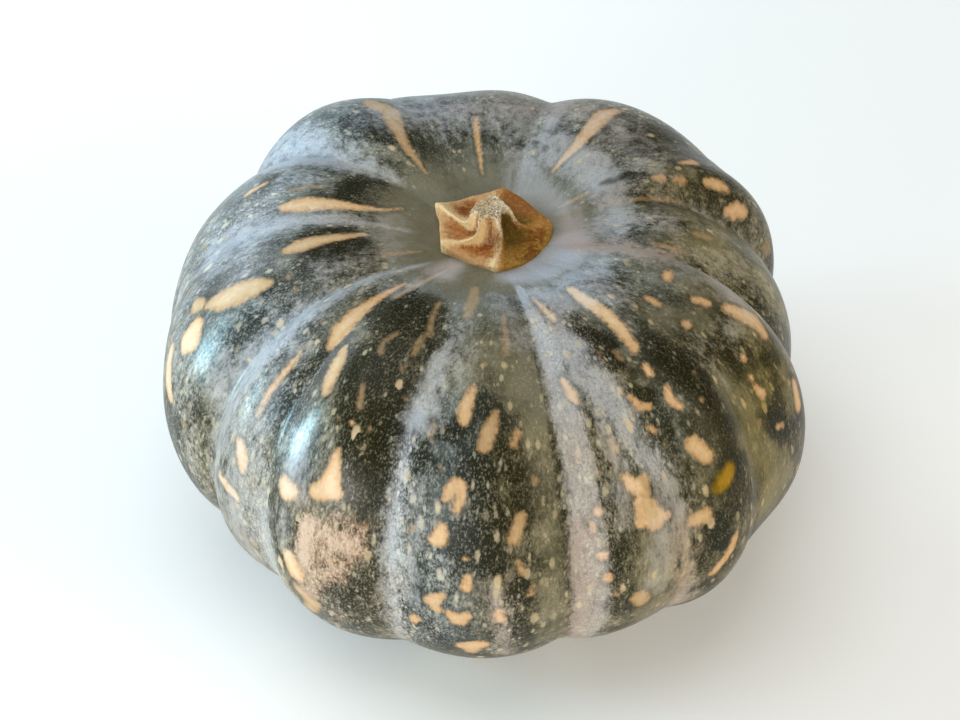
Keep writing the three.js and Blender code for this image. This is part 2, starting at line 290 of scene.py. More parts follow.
# Soft regions: how strong, how many mm the edge takes, then the strokes of that kind.
BLOOM_AND_HIGHLIGHT = [   # the blue-grey waxy film, thickest along the grooves; two strokes by the highlights on the left are painted highlight
    (1, 16, [(-128, .14, 4), (-124, .2, 8), (-121, .33, 8), (-125, .6, 2), (-126, .75, 1)],
     [(20, .13, 6), (28, .15, 8), (35, .165, 6)]),
    (.8, 16, [(-127, .22, 5), (-129, .28, 8), (-131, .36, 8)]),
    (.6, 12, [(-112, .21, 4), (-112, .25, 4)], [(-128, .17, 3), (-131, .21, 5)],
     [(80, .085, 8), (104, .085, 6)], [(93, .14, 5), (93, .2, 6)], [(-37, .44, 4), (-36.5, .49, 4)]),
    (.4, 14, [(52, .29, 5)]),
    (.3, 14, [(-106, .29, 6), (-102, .38, 9), (-100, .46, 8), (-101, .62, 2)]),
    (.95, 14, [(-93, .1, 2), (-94, .2, 5), (-93, .33, 6)],
     [(92, .14, 5), (120, .145, 8), (150, .15, 9)],
     [(157, .16, 6), (158, .25, 7), (160, .4, 5), (163, .72, 1)], [(70, .28, 6), (68, .31, 5)]),
    (.6, 14, [(-93, .36, 6), (-92, .5, 6), (-93, .72, 1)], [(70, .12, 5), (71, .2, 7), (72, .27, 6)],
     [(199, .16, 4), (196, .26, 7), (200, .45, 5), (202, .75, 1)],
     [(106, .2, 2), (106, .45, 3), (106, .8, 1)], [(78, .3, 2), (78, .6, 3), (78, .82, 1)],
     [(60, .31, 5)]),
    (.5, 12, [(-86, .27, 4), (-85, .38, 5), (-84, .46, 1)], [(-72, .12, 5), (-68, .2, 5)]),
    (.4, 24, [(-80, .4, 8), (-70, .44, 10), (-67, .56, 6), (-70, .7, 1)]),
    (.9, 22, [(-50, .4, 8), (-49, .56, 8), (-50, .72, 1)]),
    (.9, 18, [(-56, .1, 4), (-57, .2, 7), (-58, .35, 10), (-57, .5, 6), (-58, .76, 1)]),
    (.7, 12, [(-50, .28, 5), (-48, .4, 6), (-44, .46, 8)],
     [(115, .085, 5), (150, .085, 8), (162, .13, 5)]),
    (1, 12, [(-43, .065, 4), (-40, .09, 4)],
     [(14, .07, 5), (35, .078, 9), (55, .085, 10), (74, .085, 9)]),
    (.9, 14, [(-44, .44, 4), (-42, .5, 6), (-41, .6, 6), (-40, .72, 1)],
     # painted highlight: this stroke spreads the second highlight downwards
     [(-37.5, .36, 4), (-36, .41, 5)]),
    (.9, 9, [(-12.5, .205, 2), (-14.5, .235, 4), (-15.5, .3, 5)]),
    (.82, 9, [(-17, .31, 2.5), (-17.3, .42, 3.5), (-17.5, .62, 3), (-17, .8, 1)]),
    (.3, 8, [(-11, .41, 3), (-8, .47, 3)]), (.45, 9, [(1, .12, 5), (7, .2, 5)]),
    (.7, 8, [(-.5, .48, 2.5), (1, .6, 3)], [(-43, .12, 3), (-43.5, .16, 3)]),
    (1, 6, [(15, .11, 5), (15, .2, 5.5), (15, .35, 5.5), (15, .5, 5.5), (15.2, .62, 5), (14, .84, 1)]),
    (.9, 7, [(20, .18, 5), (22, .25, 7), (25, .31, 5), (27.5, .36, 3.5), (31, .41, 3.5)]),
    (.8, 9, [(31, .42, 3.5), (32, .5, 4), (33, .6, 5), (33, .78, 1)]),
    (.9, 12, [(46, .13, 7), (53, .145, 5)], [(72, .1, 5), (74, .2, 5)]),
    (.85, 14, [(22, .125, 6), (34, .14, 6), (44, .165, 5), (43, .19, 4)]),
    (.6, 10, [(84, .1, 4), (100, .13, 5)], [(22, .3, 4), (22, .36, 4), (21, .42, 4)]),
    (.55, 12, [(168, .08, 4), (170, .2, 5)], [(-13, .15, 3), (-10, .19, 5), (-10, .24, 5)]),
    (.6, 24, [(118, .2, 8), (140, .22, 12), (180, .2, 14), (212, .22, 12)]),
    # painted highlight: the second region below spreads the first highlight's bluish glow
    (.3, 24, [(-85, .28, 10), (-66, .28, 8)]), (.9, 16, [(-65, .355, 4), (-63, .385, 5)]),
    (.45, 12, [(162, .15, 6), (146, .13, 4)]), (.5, 9, [(-14, .36, 3), (-13.5, .52, 3)]),
    (.55, 16, [(81, .22, 5), (87, .3, 8), (89, .4, 6)]),
    (.7, 10, [(28, .41, 3), (28, .45, 5), (27, .52, 6)]), (.4, 12, [(-25, .44, 5)], [(-33, .52, 5)]),
    (.5, 18, [(-95, .12, 8), (-75, .12, 8), (-60, .12, 5)]),
    (.45, 4, [(49, .24, .6), (50, .32, .9), (50.5, .43, .8)]),
    (.6, 20, [(30, .12, 8), (60, .13, 10), (85, .13, 8)]),
]
NIGHT = [   # near-black green, where the skin carries few flecks; the stroke at the lower left edge is painted shade
    (1, 4, [(-117, .168, 3), (-110, .17, 4), (-105, .168, 4)]),
    (.9, 4, [(-113, .275, 3), (-107, .275, 3)], [(3, .475, 3), (3.6, .49, 3)],
     [(30, .3, 2.5), (32.5, .305, 3)], [(29, .34, 4), (33, .35, 3)], [(220, .18, 2), (221, .2, 3)]),
    (.45, 12, [(-104, .3, 6), (-98, .27, 6)], [(-84, .25, 6), (-80, .27, 6), (-88, .37, 5)],
     [(58, .25, 6), (62, .27, 5)]),
    # painted shade: darker at the lower left edge
    (.7, 16, [(-73, .5, 8), (-70, .56, 8)]),
    (1, 5, [(-88, .165, 3), (-86, .2, 3)], [(-78, .155, 5), (-73, .16, 4), (-76, .19, 5)],
     [(42.5, .41, 4), (45, .425, 3)]),
    (.5, 7, [(-72, .22, 5), (-69, .26, 4), (-78, .25, 4)]), (.7, 6, [(-81, .3, 4), (-80, .33, 3)]),
    (.4, 7, [(-66, .28, 3), (-67, .33, 4), (-70, .34, 3)], [(-27, .52, 6), (-25, .6, 7)]),
    (.5, 8, [(-52, .31, 4), (-46, .3, 5), (-44, .35, 5)]),
    (1, 8, [(-39, .15, 4), (-33, .19, 8), (-27, .16, 7)]),
    (1, 6, [(-28, .23, 6), (-30, .28, 6), (-25, .33, 7), (-23, .38, 6)]),
    (.8, 8, [(-26, .27, 5), (-22, .3, 5), (-18.5, .26, 3)]), (.9, 6, [(-43, .24, 3), (-41, .28, 4)]),
    (.6, 6, [(-20, .32, 4), (-15, .335, 3), (-13, .345, 3)], [(3, .52, 3), (4, .6, 4)],
     [(79.5, .34, 3), (80, .5, 4)]),
    (.85, 4, [(-13, .30, 2), (-8, .312, 2.5), (-3.8, .275, 3), (3, .3, 2), (5, .293, 1)]),
    (.7, 8, [(-4, .34, 4), (-1.5, .4, 4), (-1, .45, 3)]), (.45, 10, [(-5, .39, 4), (-7, .46, 5)]),
    (.9, 2, [(11, .22, .3), (11.2, .35, .5), (11.3, .5, .3)]),
    (.15, 7, [(19.5, .38, 3), (19.5, .45, 4), (19.5, .52, 3)]),
    (1, 3, [(26, .245, 4), (29, .255, 4)], [(24, .2, 2), (28, .22, 3), (33, .235, 3)]),
    (1, 7, [(39, .26, 5), (42, .3, 6), (43, .34, 4)]), (.6, 7, [(39, .35, 4), (43, .38, 5)]),
    (.9, 5, [(37, .47, 3), (38, .495, 4)]),
    (.25, 8, [(57, .32, 5), (61, .33, 4)], [(208, .15, 4), (224, .23, 5)]),
    (.8, 6, [(57, .42, 4), (58, .44, 4)]), (.4, 8, [(62, .45, 5), (65, .46, 4)]),
    (.4, 6, [(63, .36, 4), (65, .375, 3)]), (.6, 8, [(-11, .54, 4), (-10, .6, 5)]),
    (1, 2, [(118.5, .14, .8), (117.4, .15, 1.6), (116.4, .158, 1.2)],
     [(116.8, .162, 1.6), (115.2, .178, 1.4), (113.6, .193, .5)]),
    (.8, 4, [(205, .085, 2), (212, .088, 2)]), (.4, 10, [(128, .22, 8), (134, .28, 9), (122, .3, 8)]),
    (.35, 16, [(-97, .3, 8), (-86, .3, 8), (-80, .26, 6)]), (.5, 10, [(33, .33, 4), (31, .37, 4)]),
    (.35, 10, [(8.5, .34, 4), (7.5, .39, 4)]),
]
OLIVE = [   # smoother olive-grey skin
    (1, 14, [(-180, .03, 14), (0, .03, 14)]),
    (.9, 10, [(-135, .1, 6), (-100, .11, 5), (-65, .11, 5), (-35, .1, 5), (-12, .14, 7)]),
    (.8, 10, [(-9, .15, 6), (-6, .2, 6), (-5, .24, 4)]),
    (.9, 8, [(3, .16, 8), (5, .22, 9), (8, .3, 5)], [(26, .46, 5), (26, .54, 6), (28, .6, 6)]),
    (.6, 8, [(8, .3, 5), (9, .45, 4), (9, .58, 5)]), (.6, 9, [(-78, .23, 4), (-74, .24, 4)]),
    (.7, 16, [(85, .2, 8), (92, .3, 12), (93, .42, 10), (90, .6, 4)]),
    (.8, 9, [(49, .34, 3), (50, .42, 6), (55, .52, 10)]),
    (.9, 12, [(48, .24, 5), (54, .26, 6), (66, .26, 6), (69, .28, 5), (69, .38, 4)]),
    (.8, 12, [(68, .13, 7), (70, .22, 8)]), (.6, 14, [(100, .2, 6), (103, .36, 7), (104, .5, 3)]),
    (.5, 16, [(172, .2, 6), (176, .35, 10), (190, .3, 8)]),
]
PINK = [    # a pinkish brown flush
    (.6, 9, [(13.5, .42, 3), (13.5, .5, 4), (13.5, .62, 5)]),
    (.7, 12, [(32, .46, 4), (32, .55, 6), (30, .65, 8)]), (.8, 10, [(74, .1, 5), (74, .2, 5)]),
    (.4, 9, [(-42, .07, 4), (-44, .12, 3)]),
    (.4, 10, [(84, .09, 5), (104, .09, 5)], [(18, .15, 4), (20, .2, 3)]),
    (.7, 9, [(-84, .42, 5), (-80, .46, 5)]), (.6, 12, [(-34, .42, 5), (-26, .44, 8), (-34, .55, 8)]),
    (.5, 9, [(-.5, .48, 3), (1, .6, 4)]), (.4, 16, [(-60, .55, 8), (-50, .56, 10)]),
    (.4, 20, [(150, .24, 10), (180, .24, 14)]),
]
FROST = [   # crowded whitish freckles
    (1, 7, [(-16.5, .33, 4), (-16.5, .45, 5), (-16, .6, 5)]),
    (.7, 8, [(-12, .4, 4), (-9, .48, 5), (-12, .58, 4)], [(24, .17, 5), (24, .25, 6), (29, .38, 5)]),
    (.4, 14, [(-28, .37, 8), (-28, .44, 10), (-28, .62, 10)]), (.5, 14, [(-27, .5, 8), (-30, .6, 8)]),
    (.45, 16, [(-70, .25, 10), (-48, .3, 10)]), (.25, 12, [(-4, .35, 5), (-3, .5, 5)]),
    (.5, 12, [(-25, .44, 5), (-22, .45, 4)]),
    (.8, 8, [(15, .15, 5), (15.5, .3, 5), (16, .45, 5), (16, .6, 5)]),
    (.7, 9, [(-50, .35, 7), (-46, .42, 9), (-44, .5, 9), (-40, .58, 8)]),
    (.6, 9, [(-104, .26, 8), (-102, .36, 10), (-98, .42, 10)],
     [(150, .22, 8), (130, .4, 12), (215, .35, 12), (180, .4, 10)]),
    (.4, 12, [(-84, .36, 8), (-80, .44, 10)], [(-72, .42, 10), (-66, .52, 12)]),
    (.5, 8, [(-22, .46, 5), (-21, .56, 5)]), (.6, 8, [(1, .5, 5), (0, .58, 5)]),
]
BUFF = [    # mottled pinkish patch, where the skin was rubbed young
    (1, 7, [(-31.6, .437, 3), (-31.8, .475, 3.8), (-32.5, .495, 3)]),
    (.9, 12, [(-28.5, .445, 4), (-24.5, .45, 5)]),
    (.75, 12, [(-31, .5, 4), (-27, .49, 4), (-25, .475, 3)]),
    (.7, 10, [(-29.5, .462, 4), (-27.5, .472, 4)], [(-31.5, .51, 5), (-32, .545, 4)]),
    (.6, 10, [(-27, .42, 2), (-22.5, .425, 3), (-22.5, .455, 3)]),
    (.5, 10, [(-38, .56, 3), (-36, .6, 4)]), (.45, 10, [(-27, .565, 4)]),
    (.4, 10, [(32, .56, 3), (27, .6, 3)]),
]
GLOSS = [   # where the wax is rubbed to a shine
    (1, 28, [(-76, .39, 10), (-64, .38, 9)]), (1, 26, [(-38, .35, 8), (-34, .385, 9)]),
    (.4, 60, [(-110, .3, 20), (-50, .32, 20)]),
]
CLOUDED = [     # large soft clouds of dark and pale skin, with little fine pepper
    (1, 30, [(36, .24, 10), (42, .4, 8), (62, .36, 14), (70, .2, 10)]),
    (.8, 30, [(120, .25, 16), (180, .2, 24), (205, .2, 10)]),
    (.5, 30, [(-85, .2, 20), (-110, .22, 14)]),
]
COOL = [    # a blue cast over the film and the skin under it: partly the wax's own blue, partly painted bluish window light, strongest on the left and round the two highlights
    (1, 60, [(-62, .28, 18), (-120, .3, 30), (-165, .3, 30)]), (.4, 60, [(180, .18, 40)]),
    (.4, 40, [(135, .12, 20)]), (.7, 16, [(-17, .3, 5), (-16, .45, 5)]),
    (.75, 20, [(-8, .29, 8), (-9, .36, 10), (-9, .55, 10)]), (.4, 20, [(38, .3, 8), (34, .36, 6)]),
    (.85, 30, [(-40, .13, 10), (85, .13, 10)]), (.6, 14, [(21, .2, 5), (24, .28, 5), (29, .37, 5)]),
    (.6, 24, [(36, .14, 6), (36, .24, 4)]), (.5, 24, [(58, .2, 10)]),
    (.6, 20, [(14, .08, 6), (15.5, .18, 6), (16, .28, 5)]),
    (.7, 18, [(17, .08, 5), (45, .09, 7), (72, .09, 7)]),
    # painted highlight: the last region below tints the second highlight's surround blue
    (.5, 18, [(80, .1, 8), (110, .1, 8), (150, .12, 8)]), (.9, 30, [(-45, .34, 8), (-38, .36, 8)]),
]
WARM_REFLECTION = [  # a yellow cast: a painted warm reflection, mainly at the right edge
    (1, 40, [(60, .38, 10), (50, .42, 8), (54, .54, 12)]), (.5, 30, [(87, .25, 10), (90, .4, 12)]),
    (.4, 30, [(31, .52, 10)]),
]
REGIONS = dict(bloom=BLOOM_AND_HIGHLIGHT, olive=OLIVE, pink=PINK, frost=FROST, buff=BUFF, gloss=GLOSS,
               clouded=CLOUDED, cool=COOL, warm_reflection=WARM_REFLECTION)


def scattered_marks(draw):
    """Marks of the same kind for the far side and the underside, strewn from a fixed seed."""
    marks = []
    for _ in range(STREWN["count"]):
        share = draw.uniform(STREWN["highest"], STREWN["lowest"])
        spread = 180 if share > STREWN["all_round"] else STREWN["spread"]
        longitude = STREWN["middle"] + draw.uniform(-spread, spread)
        size = draw.gamma(STREWN["shape"], STREWN["scale"]) + STREWN["least"]
        lean = draw.normal(0, STREWN["lean"])
        length = size * draw.uniform(STREWN["shortest"], STREWN["longest"])
        step = length / MERIDIAN
        turn = np.degrees(lean * length / radius_at(share))
        marks.append([
            (longitude, share, size * draw.uniform(0.5, 1)),
            (longitude + turn, share + step, size * draw.uniform(0.7, 1.1)),
        ])
    return marks


def reach(stroke, longitude, share):
    """How far inside a stroke a place lies, in mm: the half width of the nearest point of the
    stroke's middle line, less the distance to it. Negative outside."""
    points = np.array(stroke, float)
    scale = np.radians(radius_at(points[:, 1].mean()))
    wrap = lambda angle: (angle + 180) % 360 - 180
    anchor = points[0, 0]
    x = wrap(longitude - anchor) * scale
    y = share * MERIDIAN
    line = np.stack([wrap(points[:, 0] - anchor) * scale, points[:, 1] * MERIDIAN], axis=1)
    best = np.full(np.broadcast(x, y).shape, -np.inf)
    ends = list(range(1, len(line))) or [0]
    for end in ends:
        start = max(end - 1, 0)
        way = line[end] - line[start]
        length2 = max(way @ way, 1e-9)      # a single dot has no length
        along = ((x - line[start, 0]) * way[0] + (y - line[start, 1]) * way[1]) / length2
        along = np.clip(along, 0, 1)
        gap = np.hypot(x - line[start, 0] - along * way[0], y - line[start, 1] - along * way[1])
        width = points[start, 2] + along * (points[end, 2] - points[start, 2])
        best = np.maximum(best, width - gap)
    return best


def mark_fields(longitude, share):
    """For each place: mm inside the nearest mark, and how bright and how ochre that mark is."""
    inside = np.full(longitude.shape, -MARK_HALO)
    bright = np.ones(longitude.shape)
    ochre = np.zeros(longitude.shape)
    strewn = scattered_marks(np.random.default_rng(STREWN_SEED))
    groups = [      # the marks, how bright they are and how ochre
        (CREAM, 1.0, 0.0), (WARM, 0.95, 0.22), (DULL, 0.68, 0.0), (TAN, 0.75, 0.15),
        (strewn[::3], 1.0, 0.0), (strewn[1::3], 0.7, 0.2), (strewn[2::3], 0.3, 0.1),
        (FADED, 0.42, 0.0), (BLOSSOM_SCAR, 0.6, 0.2), (OCHRE, 1.0, 1.0),
    ]
    tone = np.random.default_rng(TONE_SEED)
    for marks, brightness, yellow in groups:
        for stroke in marks:
            depth = reach(stroke, longitude, share)
            nearer = depth > inside
            inside = np.where(nearer, depth, inside)
            bright = np.where(nearer, brightness * tone.uniform(*TONES), bright)
            ochre = np.where(nearer, yellow, ochre)
    return np.maximum(inside, -MARK_FIELD), bright, ochre


def region(kinds, longitude, share):
    """The strongest of a list of soft regions: full inside, and a smooth step over the edge, half
    of which lies on either side of the stroke's outline."""
    field = np.zeros(longitude.shape)
    for strength, edge, *alike in kinds:
        for stroke in alike:
            fade = np.clip(0.5 + reach(stroke, longitude, share) / edge, 0, 1)
            field = np.maximum(field, strength * smooth(fade))
    return field


# ---- mesh making ----

def make_mesh(name, points, faces, fields):
    """A smooth mesh object from arrays, with one attribute on its points for each field."""
    mesh = bpy.data.meshes.new(name)
    mesh.from_pydata(points.tolist(), [], faces)
    for key, values in fields.items():
        kind, slot = ("FLOAT_VECTOR", "vector") if values.ndim == 2 else ("FLOAT", "value")
        attribute = mesh.attributes.new(key, kind, "POINT")
        attribute.data.foreach_set(slot, values.astype(np.float32).ravel())
    mesh.polygons.foreach_set("use_smooth", np.ones(len(mesh.polygons), bool))
    mesh.update()
    piece = bpy.data.objects.new(name, mesh)
    bpy.context.collection.objects.link(piece)
    return piece


def ring_faces(rings, around):
    """Quads between rings of points that follow one another from the top down."""
    row = np.arange(rings - 1)[:, None] * around
    left = np.arange(around)[None, :]
    right = (left + 1) % around
    quads = np.stack([row + left, row + around + left, row + around + right, row + right], axis=-1)
    return quads.reshape(-1, 4).tolist()


def cap_faces(ring, pole, around, above):
    """Triangles from a ring to its pole; above says that the pole is over the ring."""
    left = ring + np.arange(around)
    right = ring + (np.arange(around) + 1) % around
    middle = np.full(around, pole)
    order = [middle, left, right] if above else [middle, right, left]
    return np.stack(order, axis=-1).tolist()


def make_rind():
    """The fruit's skin as a grid of meridians and rows, closed at both poles, and how far it was
    moved to stand where its solid stands."""
    longitude = np.arange(COLUMNS) * 360 / COLUMNS
    share = np.linspace(0, 1, ROWS + 1)[1:-1]
    lon, down = (grid.ravel() for grid in np.meshgrid(longitude, share))
    lon = np.concatenate([lon, [0, 0]])
    down = np.concatenate([down, [0, 1]])
    points = skin(lon, down)

    lowest, highest = (np.array(corner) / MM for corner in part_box("fruit"))
    box_middle = (points.min(axis=0) + points.max(axis=0)) / 2
    shift = (lowest + highest) / 2 - box_middle
    shift[2] = lowest[2] - points[:, 2].min()

    inside, bright, ochre = mark_fields(lon, down)
    dots = np.max([reach(dot, lon, down) for dot in DOTTED], axis=0)
    night = np.maximum(region(NIGHT, lon, down), np.clip(0.5 + dots, 0, 1))
    a = np.radians(lon)
    girth = WIDEST_RADIUS * (radius_at(down) / WIDEST_RADIUS) ** SQUEEZE
    plan = [np.sin(a) * girth, -np.cos(a) * girth]
    fields = {name: region(kinds, lon, down) for name, kinds in REGIONS.items()}
    fields.update(
        growth=np.stack([*plan, down ** LENGTHENING * MERIDIAN], axis=-1),
        drawn=np.stack([*plan, down ** DRAWN_OUT * MERIDIAN], axis=-1),
        mark=inside, bright=bright, ochre=ochre, night=night,
        calm=np.clip(np.maximum(CALM_UNTIL - down, down - 1 + CALM_FADE) / CALM_FADE, 0, 1),
    )
    rings = ROWS - 1
    top, bottom = rings * COLUMNS, rings * COLUMNS + 1
    faces = ring_faces(rings, COLUMNS)
    faces += cap_faces(0, top, COLUMNS, above=True)
    faces += cap_faces((rings - 1) * COLUMNS, bottom, COLUMNS, above=False)
    return make_mesh("rind", (points + shift) * MM, faces, fields), shift


# ---- the stem ----

STEM = dict(x=2, y=-1, lean_x=-1.3, lean_y=-2, seat=49.3, foot=55, top=68, rim_rounding=0.5,
            rim_depth=2, ridge_width=2.4)
RIDGE = dict(waist=12, neck=7.6, neck_level=62, top=6.9)
HOLLOW = dict(waist=10, neck=5, neck_rise=1.2, top=4.9)
STEM_RIDGES = np.array([    # longitude, twist, reach and level of its end; the next hollow's
    (-1, 21, 19.6, 58, 17.9, 55.5, 56.3),       # edge, rim and floor
    (98, -18, 19, 57.5, 16.2, 58.8, 58.4),
    (168, 10, 18.8, 60, 17.2, 58.8, 58.4),
    (243, 37, 21.4, 61.6, 17.8, 58.8, 57.4),
    (297, 25, 19.8, 59.3, 16.8, 55.5, 56.3),
])
TWIST_START = 0.35
TWIST_END = 0.9
CORK = dict(fibres=0.13, lumps=0.3, wavy=0.12, crumbs=0.35, dish=0.9)   # mm: the rough surface
CORK_SEED = 11
BURIED = 0.15       # share of the way up below which the side is smooth, sunk in the fruit
ROUGHENS = 6        # how fast it roughens above that
ROUNDED_FROM = 0.93     # share of the way up where the side turns in to the cut
ROUNDED_BY = 0.07   # the share of its radius that it turns in by
STEM_AROUND = 300   # steps round the stem
STEM_ROWS = 96      # from its seat to its cut
STEM_RINGS = 24     # across the cut


def rounded_curve(corners, along):
    """A curve that runs from the first corner to the last and is a parabola round each corner
    between them, from the middle of one side to the middle of the next."""
    spans = len(corners) - 2
    span = np.minimum((along * spans).astype(int), spans - 1)
    share = along * spans - span
    corners = np.stack(corners)
    pick = np.arange(len(along))
    last, corner, after = (corners[span + k, pick] for k in range(3))
    start = np.where(span == 0, last, (last + corner) / 2)
    end = np.where(span == spans - 1, after, (corner + after) / 2)
    return start * (1 - share) ** 2 + 2 * corner * share * (1 - share) + end * share ** 2


def stem_outline(longitude, up):
    """Radius and level of the stem's side, from its seat (up 0) to its cut top (up 1): a ridge's
    outline, a hollow's, or one between. Also the ridge's share, 1 on its crest, and how many
    degrees the ridges have turned round the stem on the way up."""
    angle, twist, foot, level, edge, rim, floor = STEM_RIDGES.T
    i, across = between(angle, longitude)
    near = np.where(across < 0.5, i, (i + 1) % len(angle))
    ridge = np.abs(2 * across - 1) ** STEM["ridge_width"]
    climb = np.clip((up - TWIST_START) / (TWIST_END - TWIST_START), 0, 1)
    full_turn = twist[i] * (1 - across) + np.roll(twist, -1)[i] * across
    turned = smooth(climb) * full_turn
    foot, level, edge, rim, floor = foot[near], level[near], edge[i], rim[i], floor[i]
    seat, top, r, depth = (STEM[key] for key in ("seat", "top", "rim_rounding", "rim_depth"))
    blend = lambda hollow, crest: hollow + (crest - hollow) * ridge
    radii = [blend(edge, foot), blend(edge, foot), blend(edge - r, foot - r),
             blend(HOLLOW["waist"], RIDGE["waist"]), blend(HOLLOW["neck"], RIDGE["neck"]),
             blend(HOLLOW["top"], RIDGE["top"])]
    levels = [seat + 0 * rim, blend(rim - depth, level - depth), blend(rim + r, level + r),
              blend(floor, level - r), blend(floor + HOLLOW["neck_rise"], RIDGE["neck_level"]),
              top + 0 * rim]
    return rounded_curve(radii, up), rounded_curve(levels, up), ridge, turned


def grain(longitude, height, draw, waves, fastest):
    """Uneven fibres: a sum of sine waves round and up the stem, with seeded phases."""
    a = np.radians(longitude)
    total = 0
    for _ in range(waves):
        turns = draw.integers(3, fastest)
        wave = np.sin(turns * a + draw.uniform(-6, 6) * height + draw.uniform(0, tau))
        total = total + wave / turns ** 0.5
    return total


def make_stem(shift):
    """The stub: its side from the seat up to the cut, then the cut face to its middle."""
    draw = np.random.default_rng(CORK_SEED)
    side = np.linspace(0, 1, STEM_ROWS)
    inward = np.linspace(1, 0, STEM_RINGS)[1:-1]
    rows_up = np.concatenate([side, np.ones(len(inward))])
    rows_in = np.concatenate([np.ones(STEM_ROWS), inward])
    longitude = np.arange(STEM_AROUND) * 360 / STEM_AROUND
    lon, row = (grid.ravel() for grid in np.meshgrid(longitude, np.arange(len(rows_up))))
    lon = np.concatenate([lon, [0, 0]])
    up = np.concatenate([rows_up[row], [0, 1]])
    spread = np.concatenate([rows_in[row], [0, 0]])
    radius, z, ridge, turned = stem_outline(lon, up)
    a = np.radians(lon + turned)

    fibres = grain(lon, up, draw, waves=16, fastest=70)
    lumps = grain(lon, up * 3, draw, waves=8, fastest=9)
    open_side = np.clip((up - BURIED) * ROUGHENS, 0, 1)
    radius = radius + (CORK["fibres"] * fibres + CORK["lumps"] * lumps) * open_side
    z = z + CORK["wavy"] * lumps * open_side * (1 - up)
    crumbs = (np.sin(2.9 * radius * spread + 2 * a) * np.sin(5 * a + 1.3)
              + 0.7 * np.sin(9 * a + 5 * spread) * np.sin(1.7 * radius * spread + 1))
    rounding = np.clip((up - ROUNDED_FROM) / (1 - ROUNDED_FROM), 0, 1) ** 3
    radius = radius * (1 - ROUNDED_BY * rounding)
    on_cut = spread < 1
    z = z + np.where(on_cut, CORK["crumbs"] * crumbs * spread - CORK["dish"] * (1 - spread ** 2), 0)
    z = np.minimum(z, STEM["top"])

    lean = np.maximum(z - STEM["foot"], 0) / (STEM["top"] - STEM["foot"])
    x = STEM["x"] + STEM["lean_x"] * lean + radius * spread * np.sin(a)
    y = STEM["y"] + STEM["lean_y"] * lean - radius * spread * np.cos(a)
    points = np.stack([x, y, z], axis=-1)
    fields = dict(ridge=ridge, up=up, cut=np.maximum(on_cut, rounding), radius=radius * spread,
                  grown=points)
    rings = len(rows_up)
    bottom, top = rings * STEM_AROUND, rings * STEM_AROUND + 1
    faces = [face[::-1] for face in ring_faces(rings, STEM_AROUND)]
    faces += cap_faces(0, bottom, STEM_AROUND, above=False)
    faces += cap_faces((rings - 1) * STEM_AROUND, top, STEM_AROUND, above=True)
    return make_mesh("stem_stub", (points + shift) * MM, faces, fields)


# ---- material making ----

class Wire:
    """An output of a material's node tree; arithmetic on it adds Math nodes."""

    def __init__(self, finish, socket):
        self.finish = finish
        self.socket = socket

    def _maths(self, operation, first, second):
        return self.finish.node("ShaderNodeMath", dict(operation=operation), {0: first, 1: second})

    def __add__(self, other):
        return self._maths("ADD", self, other)

    def __sub__(self, other):
        return self._maths("SUBTRACT", self, other)

    def __rsub__(self, other):
        return self._maths("SUBTRACT", other, self)

    def __mul__(self, other):
        return self._maths("MULTIPLY", self, other)

    __radd__ = __add__
    __rmul__ = __mul__


